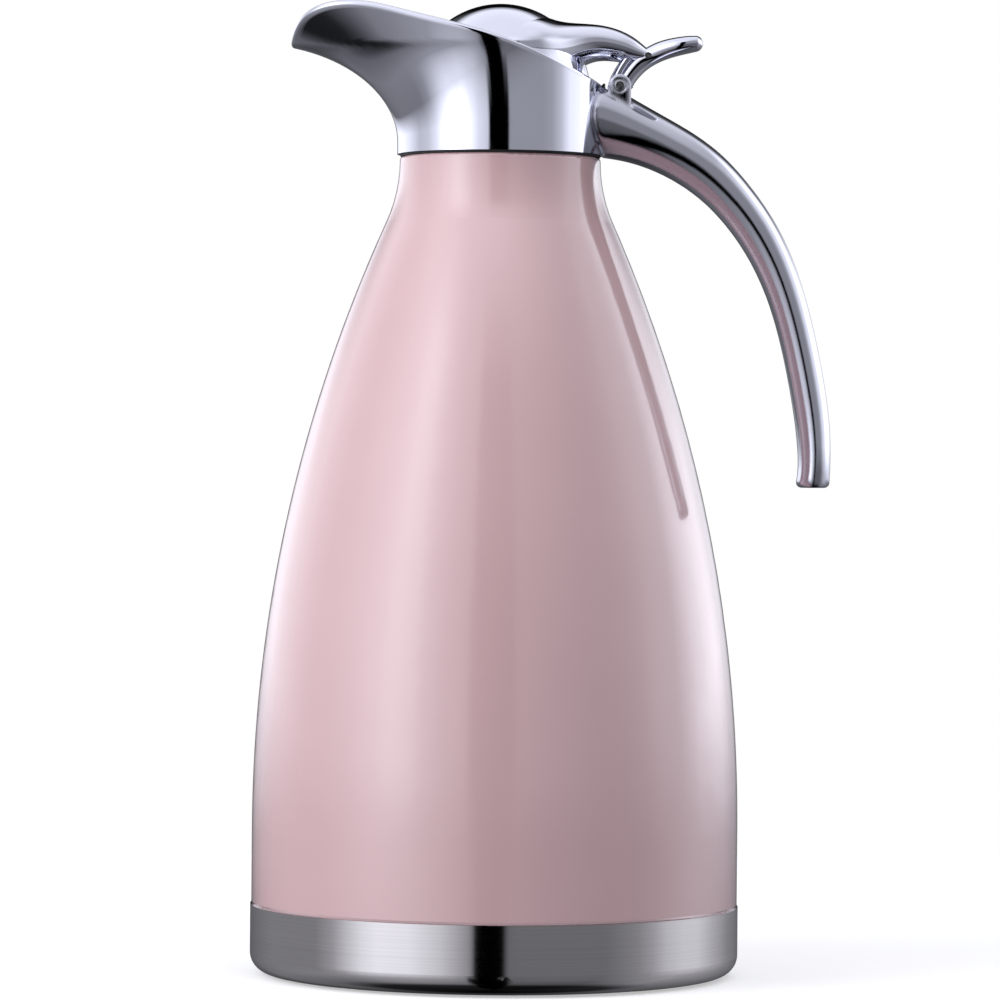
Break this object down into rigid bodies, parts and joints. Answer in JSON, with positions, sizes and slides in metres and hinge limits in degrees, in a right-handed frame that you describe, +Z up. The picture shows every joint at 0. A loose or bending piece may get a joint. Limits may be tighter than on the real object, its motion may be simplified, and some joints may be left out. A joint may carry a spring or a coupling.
{
  "type": "thermal jug",
  "caption": "Vacuum-insulated serving jug: tapering lacquered body on a steel foot band, chromed spout collar, open cantilever handle and a sprung lid lifted by a thumb lever.",
  "frame": {"origin": "on the jug's axis at the plane it stands on, the underside of its foot pad", "axes": "+Z up the jug's axis, +X from the axis towards the handle with the spout towards -X, +Y across the jug"},
  "size_m": [0.1722, 0.1456, 0.2898],
  "materials": {
    "lacquer": "gloss pink lacquer over steel",
    "flask_steel": "drawn stainless steel",
    "band_steel": "polished stainless steel with a fine turned grain",
    "pad_silicone": "matt black silicone",
    "chrome": "bright chrome plate",
    "black_plastic": "satin black polypropylene",
    "fastener_steel": "plain stainless steel"
  },
  "bodies": {
    "vessel": {"outer_shell": "lacquer", "inner_flask": "flask_steel", "shell_bottom": "flask_steel", "vacuum_seal": "flask_steel", "getter": "flask_steel", "base_band": "band_steel", "base_pad": "pad_silicone", "collar_gasket": "pad_silicone", "mouth_gasket": "pad_silicone", "spout_collar": "chrome", "handle": "chrome", "pouring_ring": "black_plastic", "handle_screws": "fastener_steel", "hinge_pin": "fastener_steel", "closing_springs": "fastener_steel"},
    "lid": {"lid_shell": "chrome", "lid_liner": "black_plastic", "liner_screws": "fastener_steel", "stopper": "black_plastic", "stopper_seal": "pad_silicone", "stopper_screw": "fastener_steel", "thumb_lever": "chrome", "lever_rivet": "fastener_steel"}
  },
  "joints": [
    {"name": "lid_hinge", "type": "hinge", "parent": "vessel", "child": "lid", "pos_m": [0.0353, 0, 0.2651], "axis": [0, 1, 0], "range_deg": [0, 45], "stiffness_Nm_per_rad": 0.05, "springref_deg": -34.38, "deforming": ["closing_springs"]}
  ]
}
